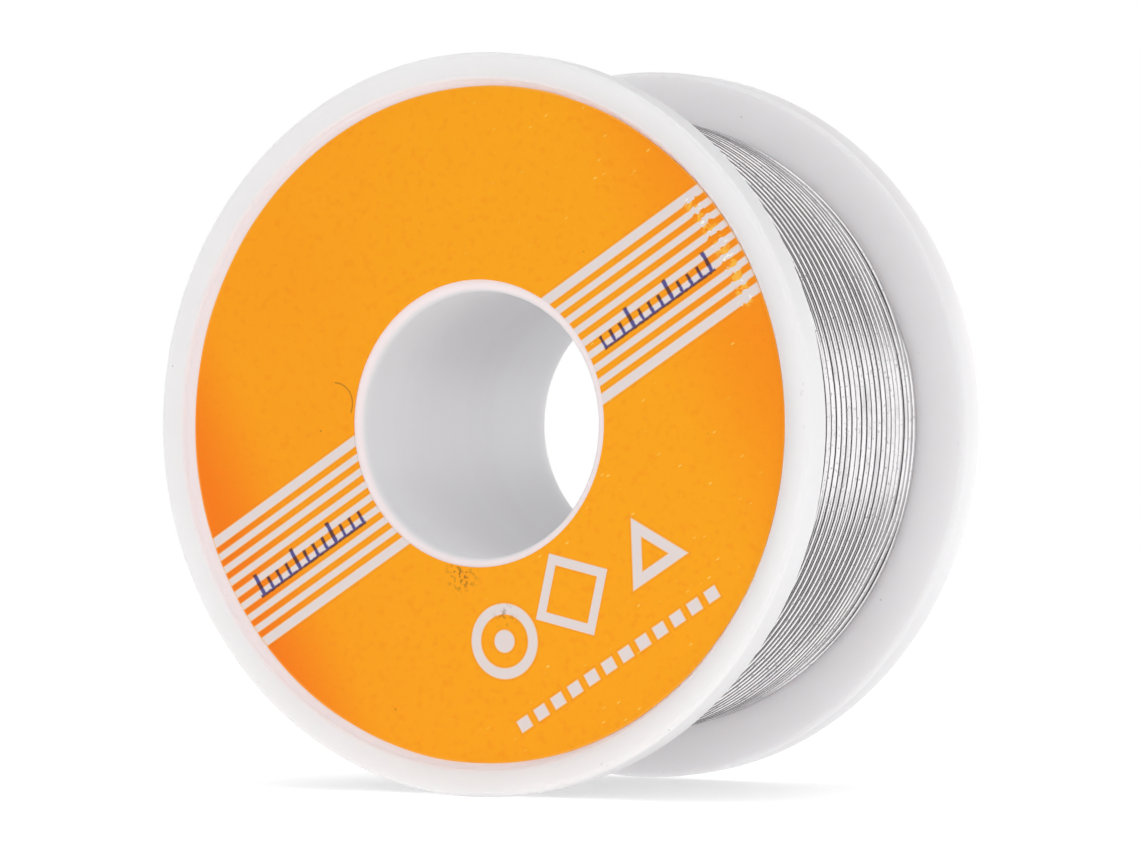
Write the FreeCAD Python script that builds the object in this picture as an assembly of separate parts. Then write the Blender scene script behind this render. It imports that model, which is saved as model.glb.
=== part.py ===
"""Solder wire spool: two flanges pressed on a barrel, a ring label, and the wound wire.

Millimetres. The spool's axis is Y and its labelled flange is at -Y. The origin is the
middle of the bore. The spool stands on its two rims, with +Z up.
"""

import FreeCAD, Part
import math
import os

Vector = FreeCAD.Vector

# Spool body
flange_diameter = 53.0
spool_width = 28.5        # over the two rims
web_thickness = 2.4       # flange plate inside the rim
rim_lift = 0.5            # the rim stands this far proud of the plate's outer face
rim_land = 1.95           # radial width of the raised rim
rim_edge_radius = 0.4
recess_rounding = 0.3     # both corners of the step from the rim down to the plate
bore_diameter = 19.0
bore_edge_radius = 0.7
spigot_wall = 1.2         # barrel wall where a flange is pressed on
shoulder_step = 1.0       # the flange seats against this step
seat_gap = 0.05           # radial clearance between round faces that seat in each other

# Label
label_margin = 0.45       # from the label's edge to the raised rim
label_hole_margin = 0.75  # from the bore's wall to the label's hole
label_thickness = 0.12

# Solder
winding_diameter = 46.4   # over the outer layer
wire_diameter = 0.8
least_turn_gap = 0.41     # clear space between neighbouring turns
tail_bend_radius = 0.9    # where each end of the wire turns towards its flange
tail_angle = -40.0        # degrees from +X towards +Z, where both ends leave the winding
gap_points_per_arc = 5

flange_radius = flange_diameter / 2
recess_radius = flange_radius - rim_land
rim_y = spool_width / 2
face_y = rim_y - rim_lift
inner_y = face_y - web_thickness
bore_radius = bore_diameter / 2
spigot_radius = bore_radius + spigot_wall
barrel_radius = spigot_radius + shoulder_step
wire_radius = wire_diameter / 2
coil_radius = winding_diameter / 2 - wire_radius
core_radius = coil_radius - wire_radius - seat_gap


def arc_between(start, corner, end):
    """Arc that touches both sides of a corner, at two points equally far from it."""
    weight = (end - start).Length / (2 * (corner - start).Length)
    middle = (start + end + corner * (2 * weight)) * (1 / (2 + 2 * weight))
    return Part.Arc(start, middle, end).toShape()


def ring(corners):
    """Solid turned about the Y axis from corners (radius, y, rounding)."""
    points = [Vector(radius, y, 0) for radius, y, _ in corners]
    edges = []
    arrivals = []
    departures = []
    for index, (_, _, rounding) in enumerate(corners):
        corner = points[index]
        back = (points[index - 1] - corner).normalize()
        ahead = (points[(index + 1) % len(points)] - corner).normalize()
        setback = rounding / math.tan(back.getAngle(ahead) / 2)
        arrivals.append(corner + back * setback)
        departures.append(corner + ahead * setback)
        if rounding:
            edges.append(arc_between(arrivals[-1], corner, departures[-1]))
    for index, arrival in enumerate(arrivals):
        if arrival.distanceToPoint(departures[index - 1]) > 1e-6:
            edges.append(Part.makeLine(departures[index - 1], arrival))
    section = Part.Face(Part.Wire(Part.__sortEdges__(edges)))
    return section.revolve(Vector(0, 0, 0), Vector(0, 1, 0), 360)


def spool_barrel():
    """Tube with a spigot at each end, as long as the flanges' outer faces are apart."""
    half = [
        (bore_radius, face_y, bore_edge_radius),
        (spigot_radius, face_y, 0),
        (spigot_radius, inner_y, 0),
        (barrel_radius, inner_y, 0),
    ]
    other_half = [(radius, -y, rounding) for radius, y, rounding in reversed(half)]
    return ring(half + other_half)


def front_flange():
    """Plate with a rounded rim that stands proud of it on the outside."""
    edge_radius = min(rim_edge_radius, 0.49 * (rim_y - inner_y), 0.49 * rim_land)
    step_rounding = min(recess_rounding, 0.49 * rim_lift)
    hole_radius = spigot_radius + seat_gap
    return ring([
        (hole_radius, -face_y, 0),
        (recess_radius, -face_y, step_rounding),
        (recess_radius, -rim_y, step_rounding),
        (flange_radius, -rim_y, edge_radius),
        (flange_radius, -inner_y, edge_radius),
        (hole_radius, -inner_y, 0),
    ])


def front_label():
    """Thin ring on the front plate, which covers the seam round the spigot."""
    hole_radius = bore_radius + label_hole_margin
    label_radius = recess_radius - label_margin
    return ring([
        (hole_radius, -face_y, 0),
        (label_radius, -face_y, 0),
        (label_radius, -face_y - label_thickness, 0),
        (hole_radius, -face_y - label_thickness, 0),
    ])


def winding_core():
    """The inner layers of wire, from the barrel out to the outer layer."""
    inside = barrel_radius + seat_gap
    return ring([
        (inside, -inner_y, 0),
        (core_radius, -inner_y, 0),
        (core_radius, inner_y, 0),
        (inside, inner_y, 0),
    ])


def biarc(start, start_way, end, end_way):
    """Two arcs that join and leave two points along the given unit vectors."""
    chord = end - start
    ways = start_way + end_way
    spread = 2 * (1 - start_way.dot(end_way))
    along = chord.dot(ways)
    reach = (math.sqrt(along ** 2 + spread * chord.dot(chord)) - along) / spread
    first_corner = start + start_way * reach
    second_corner = end - end_way * reach
    joint = (first_corner + second_corner) * 0.5
    return [arc_between(start, first_corner, joint), arc_between(joint, second_corner, end)]


def coil_wire():
    """Centre line of the outer layer: one helix whose two ends meet the flanges squarely."""
    end_y = inner_y - wire_diameter - tail_bend_radius
    turns = int(2 * end_y / (wire_diameter + least_turn_gap))
    pitch = 2 * end_y / turns
    slope = math.atan2(pitch, 2 * math.pi * coil_radius)

    def point(quarters):
        angle = math.radians(tail_angle) + quarters * math.pi / 2
        y = -end_y + quarters * pitch / 4
        return Vector(coil_radius * math.cos(angle), y, coil_radius * math.sin(angle))

    def way(quarters):
        angle = math.radians(tail_angle) + quarters * math.pi / 2
        across = math.cos(slope)
        return Vector(-across * math.sin(angle), math.sin(slope), across * math.cos(angle))

    def tail(quarters, side):
        """Bend and straight end on one side, as (edges from the flange inwards)."""
        end = point(quarters)
        setback = tail_bend_radius * math.tan((math.pi / 2 - slope) / 2)
        corner = end + way(quarters) * (side * setback)
        bend_start = corner + Vector(0, side * setback, 0)
        on_flange = Vector(corner.x, side * inner_y, corner.z)
        return [Part.makeLine(on_flange, bend_start), arc_between(bend_start, corner, end)]

    quarters = 4 * turns
    edges = tail(0, -1)
    for index in range(quarters):
        edges += biarc(point(index), way(index), point(index + 1), way(index + 1))
    edges += reversed(tail(quarters, 1))
    print(f"outer layer: {turns} turns, pitch {pitch:.3f} mm")
    return Part.Wire(edges)


def print_least_gap(centre_line):
    """Least clear space between stretches of wire over half a turn apart along it."""
    points = []
    for edge in centre_line.Edges:
        points += edge.discretize(Number=gap_points_per_arc)
    far = [0.0]
    for before, after in zip(points, points[1:]):
        far.append(far[-1] + before.distanceToPoint(after))
    half_turn = math.pi * coil_radius
    least = min(
        points[i].distanceToPoint(points[j])
        for i in range(len(points))
        for j in range(i)
        if far[i] - far[j] > half_turn
    )
    print(f"outer layer: least gap to itself {least - wire_diameter:.3f} mm")


def winding_outer_layer():
    """One unbroken tube along the helix."""
    centre_line = coil_wire()
    print_least_gap(centre_line)
    first = centre_line.Edges[0]
    start = first.firstVertex(True).Point
    section = Part.Circle(start, Vector(0, 1, 0), wire_radius).toShape()
    sweep = Part.BRepOffsetAPI.MakePipeShell(centre_line)
    sweep.add(Part.Wire(section))
    sweep.build()
    sweep.makeSolid()
    tube = sweep.shape()
    expected = math.pi * wire_radius ** 2 * centre_line.Length
    print(f"outer layer: volume {tube.Volume:.1f} of {expected:.1f} mm3")
    return tube


front = front_flange()
nodes = {
    "spool_barrel": spool_barrel(),
    "front_flange": front,
    "rear_flange": front.mirror(Vector(0, 0, 0), Vector(0, 1, 0)),
    "front_label": front_label(),
    "winding_core": winding_core(),
    "winding_outer_layer": winding_outer_layer(),
}

os.makedirs("parts", exist_ok=True)
for name, shape in nodes.items():
    shape.exportStep(f"parts/{name}.step")
    print(f"{name}: {shape.Volume:.1f} mm3, valid {shape.isValid()}, {shape.ShapeType}")
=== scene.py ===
"""Looks of the solder wire spool: milky plastic, a printed ring label, and touching turns of wire.

The frame is in metres. The spool's axis is Y and its labelled flange is at -Y. It stands on
its two rims on the floor, with +Z up. Angles round the spool run from +X towards +Z.
"""

import math

import bpy
import numpy as np
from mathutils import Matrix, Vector


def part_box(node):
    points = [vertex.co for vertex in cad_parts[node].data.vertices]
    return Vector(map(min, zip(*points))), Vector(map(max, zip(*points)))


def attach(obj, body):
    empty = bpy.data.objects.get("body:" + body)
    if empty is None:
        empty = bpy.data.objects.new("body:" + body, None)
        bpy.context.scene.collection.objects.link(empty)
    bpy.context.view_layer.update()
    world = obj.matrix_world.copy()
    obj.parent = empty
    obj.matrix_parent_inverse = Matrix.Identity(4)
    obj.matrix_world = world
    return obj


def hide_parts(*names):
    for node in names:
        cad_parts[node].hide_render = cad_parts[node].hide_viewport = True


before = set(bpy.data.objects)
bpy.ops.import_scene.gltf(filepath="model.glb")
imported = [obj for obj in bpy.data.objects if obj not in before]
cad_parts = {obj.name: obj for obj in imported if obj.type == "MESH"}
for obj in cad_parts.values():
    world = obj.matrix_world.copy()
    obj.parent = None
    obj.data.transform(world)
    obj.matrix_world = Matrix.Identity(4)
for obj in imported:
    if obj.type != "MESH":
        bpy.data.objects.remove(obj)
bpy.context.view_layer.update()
scene = bpy.context.scene
MM = 0.001

flange_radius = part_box("front_flange")[1].x
front_inner_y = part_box("front_flange")[1].y
rear_inner_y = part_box("rear_flange")[0].y
label_face_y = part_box("front_label")[0].y
plate_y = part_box("front_label")[1].y
label_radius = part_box("front_label")[1].x
winding_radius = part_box("winding_outer_layer")[1].x

# Label
label_hole_radius = 10.25 * MM
label_hole_lift = 0.09 * MM       # the hole was cut this far above the bore's axis
label_shift = 0.36 * MM           # the label was stuck on this far to the right of that axis
label_unevenness = 0.03 * MM      # of its outer edge
label_turn = math.radians(32.2)   # the printed band climbs to the right by this much

# Solder
wire_diameter = 0.8 * MM
layer_drop = 0.7 * MM             # from the outer layer's centre line down to the next one's
crown_drop = 0.4 * MM             # the winding is this much lower at the flanges than in the middle
crown_flat = 5.0 * MM             # half-width of the level middle
first_angle = -110                # degrees, where the winding starts at the front flange
last_turn_dive = 0.3 * MM
wander_along_axis = 0.011 * MM
wander_outwards = 0.009 * MM

# Light and camera
ambient = 0.46                    # light from all round, where 1 is white
lens_mm = 176
camera_turn = math.radians(28.7)  # from straight ahead towards +X
camera_distance = 396.3 * MM      # from the front rim's plane, along the view
camera_offset = 6.79 * MM         # to the right of the spool's axis
camera_height = -0.2 * MM         # above the spool's axis


class Field:
    """A number that varies over a surface, held as a socket of a node tree."""

    def __init__(self, tree, socket):
        self.tree = tree
        self.socket = socket

    def math(self, operation, *others):
        node = self.tree.nodes.new("ShaderNodeMath")
        node.operation = operation
        for socket, value in zip(node.inputs, (self, *others)):
            if isinstance(value, Field):
                self.tree.links.new(value.socket, socket)
            else:
                socket.default_value = value
        return Field(self.tree, node.outputs[0])

    def __add__(self, other):
        return self.math("ADD", other)

    def __sub__(self, other):
        return self.math("SUBTRACT", other)

    def __mul__(self, other):
        return self.math("MULTIPLY", other)

    __radd__ = __add__
    __rmul__ = __mul__

    def __rsub__(self, other):
        return self * -1 + other

    def __neg__(self):
        return self * -1

    def __abs__(self):
        return self.math("ABSOLUTE")

    def over(self, other):
        return self.math("DIVIDE", other)

    def least(self, other):
        return self.math("MINIMUM", other)

    def most(self, other):
        return self.math("MAXIMUM", other)

    def clamp(self):
        return self.most(0).least(1)

    def ramp(self, low, high):
        """0 below low, 1 above high, smooth between them."""
        node = self.tree.nodes.new("ShaderNodeMapRange")
        node.interpolation_type = "SMOOTHSTEP"
        self.tree.links.new(self.socket, node.inputs["Value"])
        node.inputs["From Min"].default_value = low
        node.inputs["From Max"].default_value = high
        return Field(self.tree, node.outputs["Result"])

    def inside(self, soft):
        """1 where this signed distance is negative, with an edge of the given softness."""
        return 1 - self.ramp(-soft, soft)


def hypot(a, b):
    return (a * a + b * b).math("SQRT")


class Paint:
    """A material's node tree, with the fields that its pattern is made from, in millimetres."""

    def __init__(self, name):
        self.material = bpy.data.materials.new(name)
        self.material.use_nodes = True
        self.tree = self.material.node_tree
        self.shader = self.tree.nodes["Principled BSDF"]
        place = self.tree.nodes.new("ShaderNodeTexCoord")
        scale = self.tree.nodes.new("ShaderNodeVectorMath")
        scale.operation = "SCALE"
        scale.inputs["Scale"].default_value = 1 / MM
        self.tree.links.new(place.outputs["Object"], scale.inputs[0])
        self.place = scale.outputs[0]
        parts = self.tree.nodes.new("ShaderNodeSeparateXYZ")
        self.tree.links.new(self.place, parts.inputs[0])
        self.x, self.y, self.z = (Field(self.tree, output) for output in parts.outputs)

    def vector(self, x, y, z):
        node = self.tree.nodes.new("ShaderNodeCombineXYZ")
        for socket, value in zip(node.inputs, (x, y, z)):
            if isinstance(value, Field):
                self.tree.links.new(value.socket, socket)
            else:
                socket.default_value = value
        return node.outputs[0]

    def attribute(self, name):
        node = self.tree.nodes.new("ShaderNodeAttribute")
        node.attribute_name = name
        return Field(self.tree, node.outputs["Fac"])

    def noise(self, scale, detail=2.0, rough=0.5, at=None):
        """Smooth noise from 0 to 1, with this many lumps per millimetre."""
        node = self.tree.nodes.new("ShaderNodeTexNoise")
        node.inputs["Scale"].default_value = scale
        node.inputs["Detail"].default_value = detail
        node.inputs["Roughness"].default_value = rough
        self.tree.links.new(at or self.place, node.inputs["Vector"])
        return Field(self.tree, node.outputs["Fac"])

    def cells(self, scale, at=None):
        """Distance to the nearest of scattered points, in cell widths."""
        node = self.tree.nodes.new("ShaderNodeTexVoronoi")
        node.inputs["Scale"].default_value = scale
        self.tree.links.new(at or self.place, node.inputs["Vector"])
        return Field(self.tree, node.outputs["Distance"])

    def mix(self, base, over, amount):
        """Colour base with colour over on top by amount; a colour is 0-255 sRGB or a socket."""
        node = self.tree.nodes.new("ShaderNodeMix")
        node.data_type = "RGBA"
        for socket, colour in zip((node.inputs[6], node.inputs[7]), (base, over)):
            if isinstance(colour, tuple):
                socket.default_value = linear(colour)
            else:
                self.tree.links.new(colour, socket)
        self.tree.links.new(amount.socket, node.inputs[0])
        return node.outputs[2]

    def colour(self, socket):
        self.tree.links.new(socket, self.shader.inputs["Base Color"])

    def roughness(self, field):
        self.tree.links.new(field.socket, self.shader.inputs["Roughness"])

    def bump(self, height, depth_mm):
        """Relief from a height field from 0 to 1 that stands for this depth."""
        node = self.tree.nodes.new("ShaderNodeBump")
        node.inputs["Distance"].default_value = depth_mm * MM
        self.tree.links.new(height.socket, node.inputs["Height"])
        self.tree.links.new(node.outputs[0], self.shader.inputs["Normal"])

    def set(self, **values):
        for name, value in values.items():
            self.shader.inputs[name.replace("_", " ")].default_value = value


def linear(colour):
    """sRGB 0-255 as linear RGBA."""
    shares = (value / 255 for value in colour)
    return (*(s / 12.92 if s <= 0.04045 else ((s + 0.055) / 1.055) ** 2.4 for s in shares), 1)


def milky_plastic(name, see_through):
    """Translucent white moulding with faint flow marks, a scuffed rim edge and sparse dust.

    Close to the label and round the bore's mouth it is dense, and its colour there is lighter and
    pink: painted light bounced from the orange film.
    """
    paint = Paint(name)
    rim = flange_radius / MM
    radius = hypot(paint.x, paint.z)
    cloud = paint.noise(0.09, 3)
    flow = paint.noise(0.5, 4, at=paint.vector(radius * 0.35, paint.y, radius * 0.1))
    colour = paint.mix((232, 229, 231), (241, 241, 243), (cloud * 0.6 + flow * 0.5).clamp())
    dust = (paint.cells(0.42) - 0.03).inside(0.012) * paint.noise(0.6, 0).ramp(0.52, 0.62)
    colour = paint.mix(colour, (140, 132, 124), dust * 0.5)
    patches = paint.noise(0.13, 1).ramp(0.55, 0.7)
    scratch = paint.noise(1.7, 4, 0.65).ramp(0.6, 0.66) * patches
    scuffed = (abs(radius - (rim - 0.4)) - 0.2).inside(0.2) * scratch
    colour = paint.mix(colour, (196, 195, 204), scuffed * 0.5)
    in_front = (-paint.y).ramp(-plate_y / MM - 0.4, -plate_y / MM - 0.1)
    # Painted light: a lighter pink tint, as if bounced from the orange film, on the plastic in front
    # inside the label's edge.
    by_label_painted_bounce = (radius - (label_radius / MM + 0.5)).inside(0.35) * in_front
    colour = paint.mix(colour, (250, 238, 240), by_label_painted_bounce)
    paint.colour(colour)
    weight = (1 - by_label_painted_bounce * 0.85) * see_through
    paint.tree.links.new(weight.socket, paint.shader.inputs["Subsurface Weight"])
    paint.roughness(paint.noise(0.8, 4) * 0.1 + 0.36 + scuffed * 0.12)
    paint.bump(paint.noise(0.9, 2) * 0.8 + scuffed * 0.2, 0.015)
    paint.set(IOR=1.46, Subsurface_Scale=4.0 * MM)
    paint.shader.inputs["Subsurface Radius"].default_value = (1.0, 0.92, 0.9)
    return paint.material


def printed_label():
    """Orange film with a pale striped band, generic marks, ink scales and a few creases, with painted
    glints on it and painted highlights on the creases.
    """
    paint = Paint("printed_label")
    along = paint.x * math.cos(label_turn) + paint.z * math.sin(label_turn)
    across = paint.z * math.cos(label_turn) - paint.x * math.sin(label_turn)
    radius = hypot(paint.x, paint.z)

    left_edge = (paint.x * -0.906 + paint.z * -0.423).ramp(15.5, 23.5)
    right_edge = (paint.x * 0.906 + paint.z * 0.423).ramp(14.0, 23.5)
    deep = left_edge * 0.75 + right_edge * 0.45 + paint.x.ramp(2, -20) * 0.15
    colour = paint.mix((255, 170, 5), (252, 121, 0), (deep + paint.noise(0.07, 3) * 0.16).clamp())
    grain = paint.noise(7, 2)
    colour = paint.mix(colour, (255, 180, 40), grain.ramp(0.52, 0.75) * 0.2)
    colour = paint.mix(colour, (246, 134, 2), paint.noise(1.6, 3).ramp(0.5, 0.75) * 0.3)
    # Painted glints: small pale yellow specks, more of them towards the right of the label.
    stretched = paint.vector(along * 0.5, 0, across * 1.5)
    painted_sparkle = (paint.cells(1.4, at=stretched) - 0.1).inside(0.06) * paint.x.ramp(-6, 8)
    painted_sparkle = painted_sparkle * paint.noise(0.7, 1).ramp(0.46, 0.6)
    colour = paint.mix(colour, (255, 222, 110), painted_sparkle * 0.75)
    speck = (paint.cells(0.55, at=paint.vector(paint.x, 7, paint.z)) - 0.04).inside(0.02)
    colour = paint.mix(colour, (158, 92, 20), speck * paint.noise(0.5, 1).ramp(0.5, 0.6) * 0.6)

    crease = (abs(radius - 23.1) - 0.55).inside(0.25) * (abs(across) - 4.5).inside(0.3)
    crease = crease * along.ramp(20, 21)
    crinkle = paint.noise(1.5, 3, 0.6, at=paint.vector(along * 0.9, 0, across))
    band = across - 0.27 + crease * (crinkle - 0.5) * 1.1
    near = abs((band.over(1.01) + 0.5).math("FRACT") - 0.5) * 1.01
    thin = (near - 0.24).most(abs(band) - 3.4)
    thick = abs(abs(band) - 4.15) - 0.35
    print_edge = thin.least(thick)

    def circle(u, v, size):
        return hypot(along - u, across - v) - size

    def outline(shape, stroke):
        return abs(shape) - stroke / 2

    target = outline(circle(-6.3, -14.2, 2.3), 0.75).least(circle(-6.3, -14.2, 0.8))
    diamond = outline(abs(along - 0.1) + abs(across + 14.2) - 2.9, 0.95)
    slanted = abs(along - 7.0) * 0.87 + (across + 15.9) * 0.5 - 1.5
    triangle = outline(slanted.most(-(across + 16.2)), 0.75)
    dash_near = abs((along.over(1.6) + 0.5).math("FRACT") - 0.5) * 1.6
    dashes = (dash_near - 0.5).most(abs(across + 20.0) - 0.45).most(abs(along - 0.8) - 9.5)
    marks = target.least(diamond).least(triangle).least(dashes)
    print_edge = print_edge.least(marks)
    colour = paint.mix(colour, (228, 112, 0), (print_edge - 0.16).inside(0.07) * 0.3)
    colour = paint.mix(colour, (255, 190, 96), (print_edge - 0.06).inside(0.06) * 0.75)
    pale = print_edge.inside(0.05)
    colour = paint.mix(colour, (229, 219, 217), pale)

    def scale_marks(first, last, foot, height):
        tick = abs((along.over(0.9) + 0.5).math("FRACT") - 0.5) * 0.9 - 0.13
        long_tick = abs((along.over(3.6) + 0.5).math("FRACT") - 0.5) * 3.6 - 0.16
        short = tick.most(abs(across - (foot + height * 0.3)) - height * 0.3)
        tall = long_tick.most(abs(across - (foot + height * 0.5)) - height * 0.5)
        line = abs(across - foot) - 0.1
        span = abs(along - (first + last) / 2) - (last - first) / 2
        return short.least(tall).least(line).most(span)

    ink = scale_marks(11.6, 21.9, -1.0, 1.6).least(scale_marks(-21.9, -11.5, -1.0, 1.7))
    ragged = paint.noise(4.5, 3) * 0.14 - 0.07
    ink_colour = paint.mix((76, 44, 60), (60, 56, 142), pale)
    colour = paint.mix(colour, ink_colour, (ink + ragged).inside(0.06) * 0.93)

    dirt_near = circle(-6.8, -8.4, 1.0).least(circle(-5.3, -12.7, 0.5))
    dirt = dirt_near.inside(0.8) * paint.noise(2.6, 4).ramp(0.5, 0.62)
    colour = paint.mix(colour, (126, 84, 30), dirt * 0.7)
    # Painted highlights on the creased film: yellow patches over the orange and white glints over the
    # pale print.
    colour = paint.mix(colour, (255, 196, 70), crease * crinkle.ramp(0.48, 0.56) * (1 - pale) * 0.8)
    glint = paint.noise(3.2, 2, at=paint.vector(along * 0.6, 0, across))
    colour = paint.mix(colour, (255, 252, 244), crease * glint.ramp(0.6, 0.66) * pale)
    hair = (abs(hypot(along + 9.2, across - 7.6) - 1.5) - 0.05).most(-(along + 8.4))
    colour = paint.mix(colour, (120, 76, 24), hair.inside(0.05) * 0.55)
    edge = (hypot(paint.x - label_shift / MM, paint.z) - label_radius / MM + 0.16).ramp(0, 0.16)
    colour = paint.mix(colour, (255, 186, 92), edge * 0.6)
    paint.colour(colour)

    paint.roughness(paint.noise(0.35, 4) * 0.16 + 0.38 + grain * 0.08)
    blister = (paint.cells(0.5) - 0.16).inside(0.1) * paint.noise(0.16, 1).ramp(0.52, 0.66)
    relief = paint.noise(0.3, 2) * 0.45 + grain * 0.04 + blister * 0.12 + crease * crinkle * 0.9
    paint.bump(relief, 0.09)
    paint.set(IOR=1.46, Specular_IOR_Level=0.3)
    return paint.material


def drawn_solder():
    """Bright tin-lead wire with drawing lines along it, pits with painted shade in them, and a dull
    film in patches.
    """
    paint = Paint("drawn_solder")
    travel = paint.attribute("travel") * (1 / MM)
    radius = hypot(paint.x, paint.z)
    lengthwise = paint.vector(travel * 0.12, paint.y * 5.0, radius * 5.0)
    lines = paint.noise(1.4, 3, at=lengthwise)
    film = paint.noise(0.45, 4, 0.6, at=paint.vector(travel * 0.5, paint.y, radius))
    pits_with_painted_shade = paint.noise(3.8, 2, at=paint.vector(travel, paint.y * 1.3, radius * 1.3)).ramp(0.63, 0.7)
    colour = paint.mix((214, 212, 213), (192, 190, 192), film.ramp(0.45, 0.75))
    colour = paint.mix(colour, (226, 224, 224), lines.ramp(0.5, 0.75) * 0.5)
    # Painted shade: the wire's colour is darker in its pits.
    colour = paint.mix(colour, (128, 126, 130), pits_with_painted_shade * 0.4)
    paint.colour(colour)
    paint.roughness(film * 0.08 + 0.1 + pits_with_painted_shade * 0.08)
    paint.bump(lines * 0.14 - pits_with_painted_shade * 0.4 + film * 0.1, 0.018)
    paint.set(Metallic=1.0)
    return paint.material


def smooth(low, high, value):
    share = np.clip((value - low) / (high - low), 0, 1)
    return share * share * (3 - 2 * share)


def crown(y):
    """Radius of the outer layer's centre line over the width of the winding."""
    end = rear_inner_y - wire_diameter / 2
    return winding_radius - wire_diameter / 2 - crown_drop * smooth(crown_flat, end, abs(y))


def tube(name, centres, sides, travel):
    """Closed-ended tube along a line of centres that runs round the Y axis."""
    way = np.gradient(centres, axis=0)
    way /= np.linalg.norm(way, axis=1, keepdims=True)
    out = centres * (1, 0, 1)
    out /= np.linalg.norm(out, axis=1, keepdims=True)
    side = np.cross(way, out)
    out = np.cross(side, way)
    turn = np.arange(sides) * (2 * math.pi / sides)
    rings = (
        centres[:, None]
        + out[:, None] * (np.cos(turn)[None, :, None] * wire_diameter / 2)
        + side[:, None] * (np.sin(turn)[None, :, None] * wire_diameter / 2)
    )
    count = len(centres)
    ring = np.arange(count - 1)[:, None] * sides
    step = np.arange(sides)[None, :]
    after = (step + 1) % sides
    faces = np.stack([ring + step, ring + after, ring + sides + after, ring + sides + step], 2)
    faces = [tuple(face) for face in faces.reshape(-1, 4).tolist()]
    faces.append(tuple(range(sides - 1, -1, -1)))
    faces.append(tuple(range((count - 1) * sides, count * sides)))
    mesh = bpy.data.meshes.new(name)
    mesh.from_pydata(rings.reshape(-1, 3).tolist(), [], faces)
    mesh.polygons.foreach_set("use_smooth", [True] * len(faces))
    attribute = mesh.attributes.new("travel", "FLOAT", "POINT")
    attribute.data.foreach_set("value", np.repeat(travel, sides).astype(np.float32))
    piece = bpy.data.objects.new(name, mesh)
    scene.collection.objects.link(piece)
    return piece


def wander(rng, turns, steps, size):
    """Smooth random drift along the wire."""
    knots = rng.normal(0, size, int(turns * 5) + 2)
    return np.interp(np.arange(steps) / steps * (len(knots) - 1), np.arange(len(knots)), knots)


def slack_share(strand, angle):
    """How far a strand has moved into the slack beside the far flange; the last strand is 1."""
    upper = smooth(12, 26, angle) * smooth(80, 50, angle)
    lower = smooth(-16, -28, angle) * smooth(-70, -48, angle)
    before_third = 0.3 * (1 - upper - lower) + 0.2 * upper
    before_second = 0.5 * upper + 0.4 * lower
    before_last = 0.4 * lower
    gaps = before_third * (strand < 3.5) + before_second * (strand < 2.5)
    gaps += before_last * (strand < 1.5)
    even = 1 - before_third - before_second - before_last
    return gaps + even * np.clip(1.04 - 0.04 * strand, 0, 1)


def layer(name, drop, hand, seed, steps_per_turn, sides, settled):
    """One layer of touching turns from flange to flange.

    A settled layer has its slack in gaps beside the far flange, and its last turn dives there.
    """
    rng = np.random.default_rng(seed)
    low = front_inner_y + wire_diameter / 2
    high = rear_inner_y - wire_diameter / 2
    turns = int((high - low) / (1.005 * wire_diameter))
    pitch = 1.005 * wire_diameter if settled else (high - low) / turns
    steps = turns * steps_per_turn + 1
    along = np.linspace(0, turns, steps)
    y = low + along * pitch + wander(rng, turns, steps, wander_along_axis)
    radius = crown(y) - drop + wander(rng, turns, steps, wander_outwards)
    if settled:
        turn = np.minimum(np.floor(along), turns - 1)
        angle = (along - turn) * 360 + first_angle
        strand = turns - turn
        slack = high - low - pitch * (along + strand - 1)
        hidden = smooth(110, first_angle + 360, angle)
        share = slack_share(strand, angle) * (1 - hidden)
        share += slack_share(strand - 1, np.full(steps, first_angle)) * hidden
        y += slack * share
        radius -= last_turn_dive * smooth(10, 24, angle) * (strand < 1.5)
    y = np.clip(y, low, high)
    round_axis = np.radians(first_angle) + hand * along * 2 * math.pi
    centres = np.stack([radius * np.cos(round_axis), y, radius * np.sin(round_axis)], 1)
    return tube(name, centres, sides, along * 2 * math.pi * winding_radius)


def label_film():
    """The label as it was stuck on: a thin ring, a little off centre, with a slightly uneven edge."""
    count = 360
    turn = np.arange(count) * (2 * math.pi / count)
    rng = np.random.default_rng(3)
    uneven = np.interp(turn, np.linspace(0, 2 * math.pi, 41), np.append(rng.normal(0, 1, 40), 0))
    outer_radius = label_radius + np.clip(uneven, -1.5, 1) * label_unevenness
    circles = []
    for radius, shift, lift in (
        (label_hole_radius, 0, label_hole_lift),
        (outer_radius, label_shift, 0),
    ):
        for y in (plate_y, label_face_y):
            x = radius * np.cos(turn) + shift
            z = radius * np.sin(turn) + lift
            circles.append(np.stack([x, np.full(count, y), z], 1))
    after = (np.arange(count) + 1) % count
    faces = []
    for a, b in ((0, 1), (1, 3), (3, 2), (2, 0)):
        corners = [a * count + np.arange(count), b * count + np.arange(count), b * count + after]
        faces += np.stack([*corners, a * count + after], 1).tolist()
    mesh = bpy.data.meshes.new("label_film")
    mesh.from_pydata(np.concatenate(circles).tolist(), [], faces)
    piece = bpy.data.objects.new("label_film", mesh)
    scene.collection.objects.link(piece)
    return piece


flange_plastic = milky_plastic("flange_plastic", 1.0)
barrel_plastic = milky_plastic("barrel_plastic", 0.5)
for name, plastic in (
    ("spool_barrel", barrel_plastic),
    ("front_flange", flange_plastic),
    ("rear_flange", flange_plastic),
):
    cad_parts[name].data.materials.clear()
    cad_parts[name].data.materials.append(plastic)

label = label_film()
label.data.materials.append(printed_label())
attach(label, "root")
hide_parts("front_label")

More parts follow.
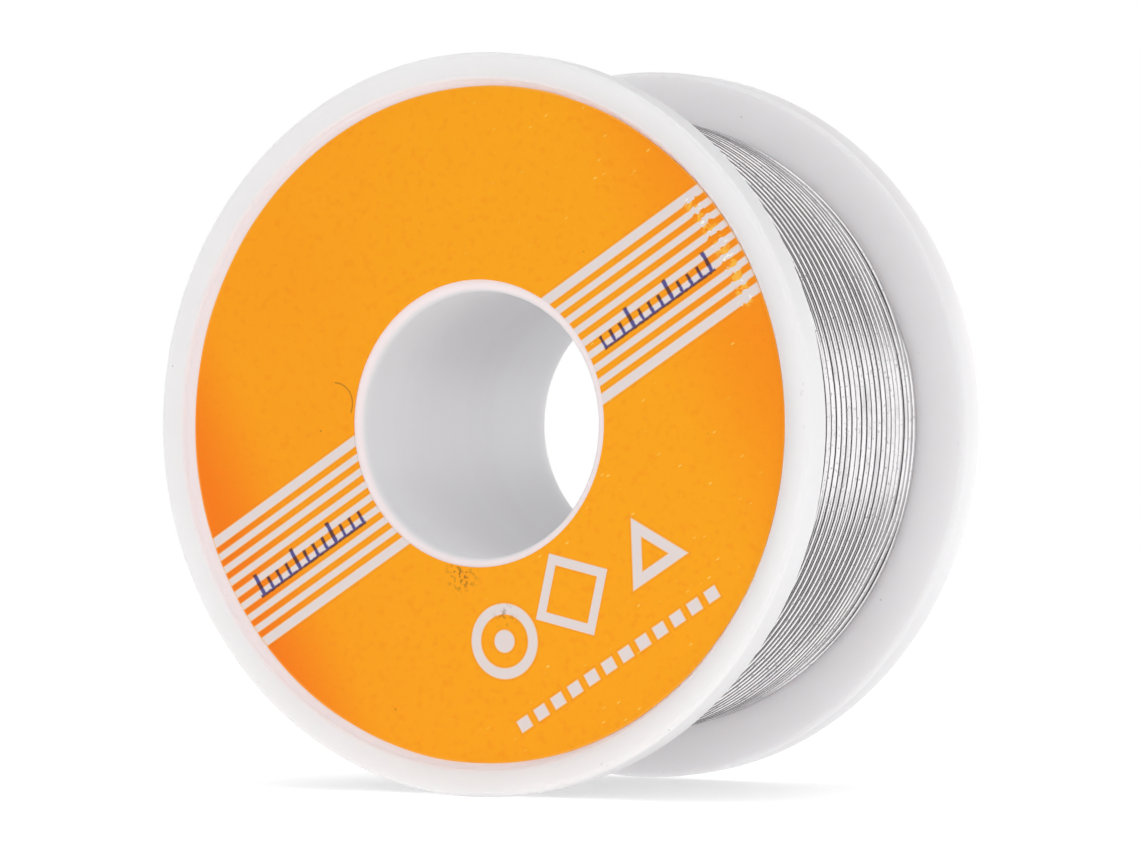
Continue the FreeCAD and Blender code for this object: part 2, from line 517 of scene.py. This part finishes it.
solder = drawn_solder()
outer = layer("solder_outer_layer", 0, 1, 4, 120, 14, settled=True)
inner = layer("solder_inner_layer", layer_drop, -1, 9, 96, 10, settled=False)
for piece, node in ((outer, "winding_outer_layer"), (inner, "winding_core")):
    piece.data.materials.append(solder)
    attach(piece, "root")
    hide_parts(node)


def lamp(name, place, width, height, radiance):
    """Soft rectangular lamp that faces the spool, with the given brightness, where 1 is white."""
    data = bpy.data.lights.new(name, "AREA")
    data.shape = "RECTANGLE"
    data.size = width
    data.size_y = height
    data.energy = radiance * math.pi * width * height
    light = bpy.data.objects.new(name, data)
    light.location = place
    light.rotation_euler = (-Vector(place)).to_track_quat("-Z", "Y").to_euler()
    light.visible_glossy = False
    scene.collection.objects.link(light)


def studio_world():
    """White to the eye. Metal mirrors a dark room with low white walls behind and to the right.

    It also mirrors a strip of light that passes overhead from left to right, and its like below.
    """
    world = bpy.data.worlds.new("studio")
    scene.world = world
    world.use_nodes = True
    tree = world.node_tree
    path = tree.nodes.new("ShaderNodeLightPath")
    camera, glossy, through = (
        Field(tree, path.outputs[name])
        for name in ("Is Camera Ray", "Is Glossy Ray", "Is Transmission Ray")
    )
    place = tree.nodes.new("ShaderNodeTexCoord")
    parts = tree.nodes.new("ShaderNodeSeparateXYZ")
    tree.links.new(place.outputs["Generated"], parts.inputs[0])
    x, y, z = (Field(tree, output) for output in parts.outputs)
    walls = (y + x * 0.5).ramp(-0.12, 0.06) * (1 - abs(z).ramp(0.24, 0.38))
    strip = 1 - abs(y - 0.02).ramp(0.19, 0.39)
    room = y.ramp(-0.8, -0.3) * 0.15 + 0.08
    mirrored = room + walls.most(strip) * (1.45 - room)
    white = camera.most(through)
    strength = white + (1 - white) * (glossy * mirrored + (1 - glossy) * ambient)
    tree.links.new(strength.socket, tree.nodes["Background"].inputs["Strength"])
    tree.nodes["Background"].inputs["Color"].default_value = (1, 1, 1, 1)


def white_floor():
    """Round floor that is plain white and fades into the white behind it."""
    size = 1.2
    mesh = bpy.data.meshes.new("floor")
    turn = np.arange(96) * (2 * math.pi / 96)
    rim = np.stack([size * np.cos(turn), size * np.sin(turn), np.full(96, -flange_radius)], 1)
    mesh.from_pydata(rim.tolist(), [], [tuple(range(96))])
    floor = bpy.data.objects.new("floor", mesh)
    scene.collection.objects.link(floor)
    material = bpy.data.materials.new("floor_white")
    material.use_nodes = True
    tree = material.node_tree
    tree.nodes.remove(tree.nodes["Principled BSDF"])
    place = tree.nodes.new("ShaderNodeTexCoord")
    length = tree.nodes.new("ShaderNodeVectorMath")
    length.operation = "LENGTH"
    tree.links.new(place.outputs["Object"], length.inputs[0])
    far = Field(tree, length.outputs["Value"])
    path = tree.nodes.new("ShaderNodeLightPath")
    glossy = Field(tree, path.outputs["Is Glossy Ray"])
    seen = Field(tree, path.outputs["Is Camera Ray"]).most(
        Field(tree, path.outputs["Is Transmission Ray"])
    )
    diffuse = tree.nodes.new("ShaderNodeBsdfDiffuse")
    diffuse.inputs["Color"].default_value = (0.9, 0.9, 0.9, 1)
    glow = tree.nodes.new("ShaderNodeEmission")
    strength = seen * (far.ramp(0.03, 0.2) * 0.2 + 0.08) + 0.36
    tree.links.new(strength.socket, glow.inputs["Strength"])
    lit = tree.nodes.new("ShaderNodeAddShader")
    tree.links.new(diffuse.outputs[0], lit.inputs[0])
    tree.links.new(glow.outputs[0], lit.inputs[1])
    clear = tree.nodes.new("ShaderNodeBsdfTransparent")
    blend = tree.nodes.new("ShaderNodeMixShader")
    tree.links.new(far.ramp(0.25, 0.8).most(glossy).socket, blend.inputs[0])
    tree.links.new(lit.outputs[0], blend.inputs[1])
    tree.links.new(clear.outputs[0], blend.inputs[2])
    tree.links.new(blend.outputs[0], tree.nodes["Material Output"].inputs["Surface"])
    mesh.materials.append(material)


studio_world()
white_floor()
lamp("right_key", (0.55, -0.90, 0.28), 0.8, 0.55, 0.9)
lamp("left_fill", (-0.60, -0.80, 0.42), 0.8, 0.55, 0.7)
lamp("right_softbox", (0.80, -0.55, 0.12), 0.9, 0.35, 0.9)
lamp("top_light", (0.0, -0.15, 0.95), 0.8, 0.8, 1.3)
lamp("back_light", (0.10, 0.95, 0.28), 1.0, 0.55, 2.1)

camera_data = bpy.data.cameras.new("camera")
camera_data.sensor_width = 36
camera_data.lens = lens_mm
camera = bpy.data.objects.new("camera", camera_data)
scene.collection.objects.link(camera)
toward = Vector((math.sin(camera_turn), -math.cos(camera_turn), 0))
right = Vector((math.cos(camera_turn), math.sin(camera_turn), 0))
front_centre = Vector((0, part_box("front_flange")[0].y, camera_height))
camera.location = front_centre + toward * camera_distance + right * camera_offset
camera.rotation_euler = (math.radians(90), 0, camera_turn)
scene.camera = camera
scene.view_settings.view_transform = "Standard"
